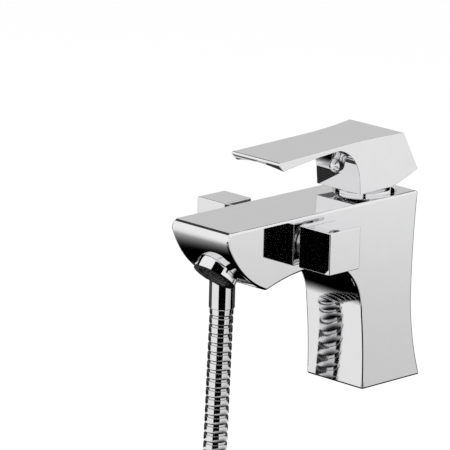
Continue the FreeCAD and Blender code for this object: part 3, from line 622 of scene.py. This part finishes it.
def hose_route():
    """The hose's line, from the sleeve through the coil to the lower fitting."""
    points = [(x, DROP_Y, z) for x, z in ((DROP_X, DROP_TOP), LEAN_MID, LEAN_LOW)]
    step = COIL_SWEEP / COIL_POINTS
    corner = COIL_RADIUS / math.cos(math.radians(step / 2))
    for place in range(COIL_POINTS):
        swept = step * (place + 0.5)
        angle = math.radians(COIL_START + swept)
        points.append(
            (
                COIL_CENTRE[0] + corner * math.cos(angle),
                DROP_Y - COIL_STEP * swept / 360,
                COIL_CENTRE[1] + corner * math.sin(angle),
            )
        )
    points.append((HOSE_END[0], HOSE_END[1], COIL_CENTRE[1]))
    points.append(HOSE_END)
    return points


def route_curve(points):
    """A smooth open curve with these points as its control points."""
    curve = bpy.data.curves.new("hose_route", "CURVE")
    curve.dimensions = "3D"
    curve.resolution_u = 32
    spline = curve.splines.new("NURBS")
    spline.points.add(len(points) - 1)
    for point, place in zip(spline.points, points):
        point.co = (*place, 1.0)
    spline.order_u = 3
    spline.use_endpoint_u = True
    return placed("hose_route", curve)


def followed(curve):
    """The points that a curve passes through."""
    depsgraph = bpy.context.evaluated_depsgraph_get()
    line = bpy.data.meshes.new_from_object(curve.evaluated_get(depsgraph), depsgraph=depsgraph)
    return [vertex.co.copy() for vertex in line.vertices]


def table(tree, index, values):
    """The value that a list holds at an index."""
    made = tree.tree.nodes.new("GeometryNodeIndexSwitch")
    made.data_type = "FLOAT"
    while len(made.index_switch_items) < len(values):
        made.index_switch_items.new()
    join(tree.tree, index, made.inputs[0])
    for place, value in enumerate(values):
        made.inputs[place + 1].default_value = value
    return Wire(tree.tree, made.outputs[0])


def band_tree():
    """Geometry nodes that wind a banded tube round a curve."""
    group = bpy.data.node_groups.new("Banded hose", "GeometryNodeTree")
    face = group.interface
    face.new_socket("Geometry", in_out="INPUT", socket_type="NodeSocketGeometry")
    for name, kind in (
        ("Bands", "NodeSocketInt"),
        ("Sides", "NodeSocketInt"),
        ("Radius", "NodeSocketFloat"),
        ("Band depth", "NodeSocketFloat"),
        ("Seam depth", "NodeSocketFloat"),
        ("Material", "NodeSocketMaterial"),
    ):
        face.new_socket(name, in_out="INPUT", socket_type=kind)
    face.new_socket("Geometry", in_out="OUTPUT", socket_type="NodeSocketGeometry")
    tree = Tree(group)
    given = group.nodes.new("NodeGroupInput")
    value = {socket.name: Wire(group, socket) for socket in given.outputs if socket.name}
    rings = float(len(BAND_RINGS))
    line = tree.node(
        "GeometryNodeResampleCurve",
        {"mode": "COUNT"},
        {"Curve": value["Geometry"], "Count": value["Bands"] * rings + 1},
    )
    index = tree.node("GeometryNodeInputIndex")
    # A little is added so that a quotient that is whole isn't rounded down.
    band = (index / rings + 0.001).whole()
    ring = index - band * rings
    along, low, seam, dark = (table(tree, ring, column) for column in zip(*BAND_RINGS))
    pitch = tree.node("GeometryNodeCurveLength", inputs={"Curve": value["Geometry"]}) / value["Bands"]
    place = tree.node(
        "GeometryNodeSampleCurve",
        {"mode": "LENGTH"},
        {"Curves": value["Geometry"], "Length": (band + along) * pitch},
        output="Position",
    )
    placed = tree.node("GeometryNodeSetPosition", inputs={"Geometry": line, "Position": place})
    # The seam attribute carries the painted shade of the seams and band edges.
    marked = tree.node(
        "GeometryNodeStoreNamedAttribute",
        {"data_type": "FLOAT", "domain": "POINT"},
        {"Geometry": placed, "Name": "seam", "Value": dark},
    )
    tube = tree.node(
        "GeometryNodeCurveToMesh",
        inputs={
            "Curve": marked,
            "Profile Curve": tree.node(
                "GeometryNodeCurvePrimitiveCircle",
                {"mode": "RADIUS"},
                {"Resolution": value["Sides"], "Radius": 1.0},
            ),
            "Scale": value["Radius"] - low * value["Band depth"] - seam * value["Seam depth"],
            "Fill Caps": True,
        },
    )
    smooth = tree.node("GeometryNodeSetShadeSmooth", inputs={"Geometry": tube})
    solid = tree.node("GeometryNodeRealizeInstances", inputs={"Geometry": smooth})
    ended = tree.node(
        "GeometryNodeSetMaterial", inputs={"Geometry": solid, "Material": value["Material"]}
    )
    tree.node("NodeGroupOutput", inputs={"Geometry": ended})
    return group


def set_inputs(modifier, values):
    """Sets a nodes modifier's inputs by their names."""
    for item in modifier.node_group.interface.items_tree:
        if item.item_type == "SOCKET" and item.in_out == "INPUT" and item.name in values:
            modifier[item.identifier] = values[item.name]


def crease(mesh, limit):
    """Makes the edges of a mesh crisp where they turn by more than an angle."""
    shape = bmesh.new()
    shape.from_mesh(mesh)
    sharpen(shape, limit)
    shape.to_mesh(mesh)
    shape.free()


# Operators


class MIXER_OT_column(Operator):
    """Finish the cast column with its spout, and the ring under the lever"""

    bl_idname = "mixer.column"
    bl_label = "Column and spout"

    def execute(self, context):
        plating = bright_plating("Bright plating, cast")
        finish_nodes(["body"], "base", plating, BODY_EDGE)
        finish_nodes(["dome_ring"], "base", plating)
        finish_nodes(["foot_seal"], "base", black_rubber())
        return {"FINISHED"}


class MIXER_OT_lever(Operator):
    """Finish the lever, its ball plug and the parts that hold it"""

    bl_idname = "mixer.lever"
    bl_label = "Lever"

    def execute(self, context):
        plating = bright_plating("Bright plating, lever", waves=0.8)
        finish_nodes(["lever_handle"], "lever", plating, LEVER_EDGE)
        plug = turned("screw_plug_finished", ball_outline(), PLUG_CENTRE, plug_plating())
        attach(plug, "lever")
        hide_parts("screw_plug")
        finish_nodes(["lever_stem"], "lever", turned_brass())
        finish_nodes(["lever_screw"], "lever", drawn_steel())
        return {"FINISHED"}


class MIXER_OT_cartridge(Operator):
    """Finish the cartridge in the column"""

    bl_idname = "mixer.cartridge"
    bl_label = "Cartridge"

    def execute(self, context):
        white = moulded_plastic("White plastic", (0.78, 0.77, 0.74), 0.3)
        ceramic = lapped_ceramic()
        finish_nodes(["cartridge_shell"], "base", white)
        finish_nodes(["fixed_disc"], "base", ceramic)
        finish_nodes(["cartridge_seal"], "base", black_rubber())
        finish_nodes(["cartridge_nut"], "base", drawn_steel())
        finish_nodes(["stem_rotor"], "rotor", white)
        finish_nodes(["pivot_pin"], "rotor", drawn_steel())
        finish_nodes(["disc_slider"], "slider", white)
        finish_nodes(["moving_disc"], "slider", ceramic)
        return {"FINISHED"}


class MIXER_OT_aerator(Operator):
    """Finish the aerator under the spout's tip"""

    bl_idname = "mixer.aerator"
    bl_label = "Aerator"

    def execute(self, context):
        plating = bright_plating("Bright plating, aerator", waves=0.4)
        grey = moulded_plastic("Grey plastic", (0.05, 0.05, 0.053), 0.42)
        finish_nodes(["aerator_housing"], "base", plating)
        finish_nodes(["aerator_insert"], "base", grey)
        finish_nodes(["aerator_washer"], "base", black_rubber())
        return {"FINISHED"}


class MIXER_OT_diverter(Operator):
    """Finish the square diverter knob, its screw and its valve"""

    bl_idname = "mixer.diverter"
    bl_label = "Diverter"

    def execute(self, context):
        plating = bright_plating("Bright plating, knob", waves=0.5)
        finish_nodes(["diverter_knob"], "diverter", plating, BLOCK_EDGE)
        finish_nodes(["knob_screw"], "diverter", plating)
        finish_nodes(["diverter_spindle"], "diverter", turned_brass())
        finish_nodes(["spindle_ring"], "diverter", black_rubber())
        neck = bright_plating("Bright plating, neck", waves=0.5, dull=0.25)
        finish_nodes(["diverter_sleeve"], "base", neck)
        return {"FINISHED"}


class MIXER_OT_outlet(Operator):
    """Finish the square shower outlet and its check valve"""

    bl_idname = "mixer.outlet"
    bl_label = "Shower outlet"

    def execute(self, context):
        plating = bright_plating("Bright plating, outlet", waves=0.5)
        grey = moulded_plastic("Grey plastic, valve", (0.30, 0.30, 0.31), 0.35)
        finish_nodes(["outlet_elbow"], "base", plating, BLOCK_EDGE)
        finish_nodes(["outlet_neck"], "base", plating)
        finish_nodes(["outlet_tail"], "base", turned_brass())
        finish_nodes(["check_cage"], "base", grey)
        spring = finish_nodes(["check_spring"], "base", drawn_steel())[0]
        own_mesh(spring)
        finish_nodes(["check_poppet"], "poppet", grey)
        return {"FINISHED"}


class MIXER_OT_hose(Operator):
    """Wind the banded hose along its route and finish its fittings and ties"""

    bl_idname = "mixer.hose"
    bl_label = "Shower hose"

    def execute(self, context):
        look = context.scene.mixer_hose
        plating = bright_plating("Bright plating, fittings", waves=0.3)
        metal = ["hose_nut", "hose_sleeve", "end_sleeve", "cone_nut"]
        chromed = finish_nodes(metal, "base", plating)
        rubber = finish_nodes(["hose_washer", "end_washer"], "base", black_rubber())
        strap = moulded_plastic("Strap plastic", (0.62, 0.63, 0.64), 0.42)
        ties = finish_nodes(["coil_tie_upper", "coil_tie_lower"], "base", strap)
        route = route_curve(hose_route())
        path = followed(route)
        length = sum((b - a).length for a, b in zip(path, path[1:]))
        winding = route.modifiers.new("Bands", "NODES")
        winding.node_group = band_tree()
        values = {
            "Bands": round(length / look.pitch),
            "Sides": look.sides,
            "Radius": look.diameter / 2,
            "Band depth": look.band_depth,
            "Seam depth": look.seam_depth,
            "Material": wound_band(),
        }
        set_inputs(winding, values)
        depsgraph = context.evaluated_depsgraph_get()
        mesh = bpy.data.meshes.new_from_object(route.evaluated_get(depsgraph), depsgraph=depsgraph)
        bpy.data.objects.remove(route)
        crease(mesh, HOSE_SHARP_TURN)
        hose = placed("shower_hose", mesh)
        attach(hose, "base")
        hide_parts("hose_drop", "hose_bend", "hose_coil", "hose_tail")
        return {"FINISHED"}


class MIXER_OT_studio(Operator):
    """Set the floor, the cards, the lamps and the camera"""

    bl_idname = "mixer.studio"
    bl_label = "Studio"

    def execute(self, context):
        look = context.scene.mixer_studio
        set_world(context.scene)
        set_floor(look.floor_height)
        set_cards(look.floor_height)
        set_lamps(look.key_power)
        set_camera(context.scene, look.lens)
        return {"FINISHED"}


# Studio


def met_by(tree, *kinds):
    """1 where rays of one of these kinds arrive, otherwise 0."""
    path = tree.tree.nodes.new("ShaderNodeLightPath")
    first, *others = (Wire(tree.tree, path.outputs[f"Is {kind} Ray"]) for kind in kinds)
    for other in others:
        first = first.math("MAXIMUM", first, other)
    return first


def set_world(scene):
    """An even white room that lights at a plain level."""
    world = bpy.data.worlds.new("White room")
    scene.world = world
    world.use_nodes = True
    world.node_tree.nodes.clear()
    tree = Tree(world.node_tree)
    strength = 0.72 + 0.28 * met_by(tree, "Camera", "Glossy", "Transmission")
    white = (1.0, 1.0, 1.0, 1.0)
    light = tree.node("ShaderNodeBackground", inputs={"Color": white, "Strength": strength})
    tree.node("ShaderNodeOutputWorld", inputs={"Surface": light})


def sheet(name, corners, faces, material):
    """A stage object made of flat faces."""
    mesh = bpy.data.meshes.new(name)
    mesh.from_pydata(corners, [], faces)
    mesh.materials.append(material)
    obj = placed(name, mesh)
    return obj


def disc(name, radius, height, material):
    """A flat round stage object."""
    angles = [math.radians(degrees) for degrees in range(0, 360, 6)]
    corners = [(radius * math.cos(angle), radius * math.sin(angle), height) for angle in angles]
    return sheet(name, corners, [tuple(range(len(corners)))], material)


def set_floor(height):
    """A plain pale floor that keeps the shadow of the mixer."""
    finish = Finish("Pale floor")
    pale = finish.node("ShaderNodeBsdfDiffuse", inputs={"Color": (0.86, 0.86, 0.86, 1.0)})
    lift = finish.glow(0.35 * met_by(finish, "Camera", "Transmission"))
    seen = finish.node("ShaderNodeAddShader", inputs={0: pale, 1: lift})
    mirrored = finish.glow(0.93)
    by_mirror = met_by(finish, "Glossy")
    finish.output(finish.node("ShaderNodeMixShader", inputs={0: by_mirror, 1: seen, 2: mirrored}))
    disc("floor", 12.0, height, finish.material)


def card_finish(name, strength):
    """A finish that only shines, by a plain grey or by one that a function makes."""
    finish = Finish(name)
    finish.output(finish.glow(strength(finish) if callable(strength) else strength))
    return finish.material


def hide_card(card):
    """Keeps a card out of the picture, so that it shows in the metal alone."""
    for kind in ("camera", "diffuse", "transmission", "shadow", "volume_scatter"):
        setattr(card, "visible_" + kind, False)


def around(name, radius, first, last, low, high, material):
    """A curved upright card round the mixer, between two angles from +X and two heights."""
    corners = []
    for place in range(CARD_STEPS + 1):
        angle = math.radians(first + (last - first) * place / CARD_STEPS)
        x = CARD_CENTRE[0] + radius * math.cos(angle)
        y = CARD_CENTRE[1] + radius * math.sin(angle)
        corners += [(x, y, low), (x, y, high)]
    faces = [(2 * k, 2 * k + 2, 2 * k + 3, 2 * k + 1) for k in range(CARD_STEPS)]
    return sheet(name, corners, faces, material)


def fading_tone(finish):
    """Black under the mixer, pale further out, and a little greyer behind the knob's side."""
    place = finish.place()
    far = finish.node("ShaderNodeVectorMath", {"operation": "LENGTH"}, {0: place}, output="Value")
    side = finish.node(
        "ShaderNodeVectorMath",
        {"operation": "DOT_PRODUCT"},
        {0: place, 1: (0.707, 0.707, 0.0)},
        output="Value",
    )
    near_tone = finish.smooth(far, 0.585, 0.85, 0.0, 0.93)
    grey_side = finish.smooth(side / far, 0.3, 0.8) * finish.smooth(far, 1.25, 2.05, 0.24, 0.0)
    return near_tone * (1 - grey_side)


def rising_tone(finish):
    """Nearly black low down, dark grey higher up."""
    return finish.smooth(finish.along("Z"), -0.33, 0.02, 0.015, 0.14)


def set_cards(floor_height):
    """Black and grey cards that give the plating its dark lines."""
    fading = card_finish("Fading card", fading_tone)
    hide_card(disc("under_card", 2.2, floor_height + 0.004, fading))
    foot = floor_height + 0.01
    black = card_finish("Black card", 0.0)
    dark = card_finish("Dark card", rising_tone)
    grey = card_finish("Grey card", 0.64)
    high = card_finish("High card", 0.05)
    for card in (
        ("front_card", 0.62, -80.0, -14.0, foot, 0.06, black),
        ("low_rear_card", 0.9, 56.0, 214.0, foot, 0.04, dark),
        ("side_card", 1.6, 64.0, 98.0, 0.06, 0.9, black),
        ("far_side_card", 1.6, 178.0, 210.0, 0.06, 0.9, black),
        ("lens_card", 2.4, -50.0, -40.0, 0.5, 0.9, black),
        ("rear_card", 3.0, 100.0, 175.0, 0.2, 1.2, grey),
        ("high_rear_card", 3.0, 100.0, 190.0, 1.3, 3.7, high),
        ("notch_card", 2.0, -38.0, -16.0, 1.2, 2.0, black),
    ):
        hide_card(around(*card))


def set_lamps(power):
    """One large soft lamp at the upper left and a weaker one at the right."""
    for name, place, watts, size in (
        ("key_lamp", (-1.1, -0.9, 1.5), power, 0.9),
        ("fill_lamp", (1.6, -0.5, 1.0), power * 0.4, 1.2),
    ):
        light = bpy.data.lights.new(name, "AREA")
        light.energy = watts
        light.size = size
        lamp = placed(name, light)
        lamp.location = place
        aim = Vector((0.0, -0.05, 0.05)) - Vector(place)
        lamp.rotation_euler = aim.to_track_quat("-Z", "Y").to_euler()
        lamp.visible_glossy = False


def set_camera(scene, lens):
    """The camera of the photograph: far away, a little above, on the knob's side."""
    data = bpy.data.cameras.new("camera")
    data.lens = lens
    data.sensor_width = 36.0
    data.clip_start = 0.1
    data.clip_end = 60.0
    camera = placed("camera", data)
    level = math.cos(CAMERA_DIP)
    forward = Vector(
        (-math.sin(CAMERA_TURN) * level, math.cos(CAMERA_TURN) * level, -math.sin(CAMERA_DIP))
    )
    right = Vector((math.cos(CAMERA_TURN), math.sin(CAMERA_TURN), 0.0))
    up = right.cross(forward)
    across = math.cos(CAMERA_ROLL) * right + math.sin(CAMERA_ROLL) * up
    upright = -math.sin(CAMERA_ROLL) * right + math.cos(CAMERA_ROLL) * up
    axes = Matrix((across, upright, -forward)).transposed().to_4x4()
    camera.matrix_world = Matrix.Translation(CAMERA_PLACE) @ axes
    scene.camera = camera


# Add-on


class MIXER_PT_panel(Panel):
    """The mixer's sizes and the buttons that make it"""

    bl_label = "Bath mixer"
    bl_idname = "MIXER_PT_panel"
    bl_space_type = "VIEW_3D"
    bl_region_type = "UI"
    bl_category = "Mixer"

    def draw(self, context):
        scene = context.scene
        for settings in (scene.mixer_plating, scene.mixer_hose, scene.mixer_studio):
            box = self.layout.box()
            for name in settings.__annotations__:
                box.prop(settings, name)
        for operator in OPERATORS:
            self.layout.operator(operator.bl_idname)


OPERATORS = (
    MIXER_OT_column,
    MIXER_OT_lever,
    MIXER_OT_cartridge,
    MIXER_OT_aerator,
    MIXER_OT_diverter,
    MIXER_OT_outlet,
    MIXER_OT_hose,
    MIXER_OT_studio,
)
CLASSES = (PlatingSettings, HoseSettings, StudioSettings) + OPERATORS + (MIXER_PT_panel,)


def register():
    for made in CLASSES:
        bpy.utils.register_class(made)
    bpy.types.Scene.mixer_plating = PointerProperty(type=PlatingSettings)
    bpy.types.Scene.mixer_hose = PointerProperty(type=HoseSettings)
    bpy.types.Scene.mixer_studio = PointerProperty(type=StudioSettings)


def unregister():
    del bpy.types.Scene.mixer_studio
    del bpy.types.Scene.mixer_hose
    del bpy.types.Scene.mixer_plating
    for made in reversed(CLASSES):
        bpy.utils.unregister_class(made)


def main():
    """Makes the whole mixer and its studio."""
    register()
    bpy.ops.mixer.column()
    bpy.ops.mixer.lever()
    bpy.ops.mixer.cartridge()
    bpy.ops.mixer.aerator()
    bpy.ops.mixer.diverter()
    bpy.ops.mixer.outlet()
    bpy.ops.mixer.hose()
    bpy.ops.mixer.studio()
    bpy.context.scene.view_settings.view_transform = "Standard"


if __name__ == "__main__":
    main()
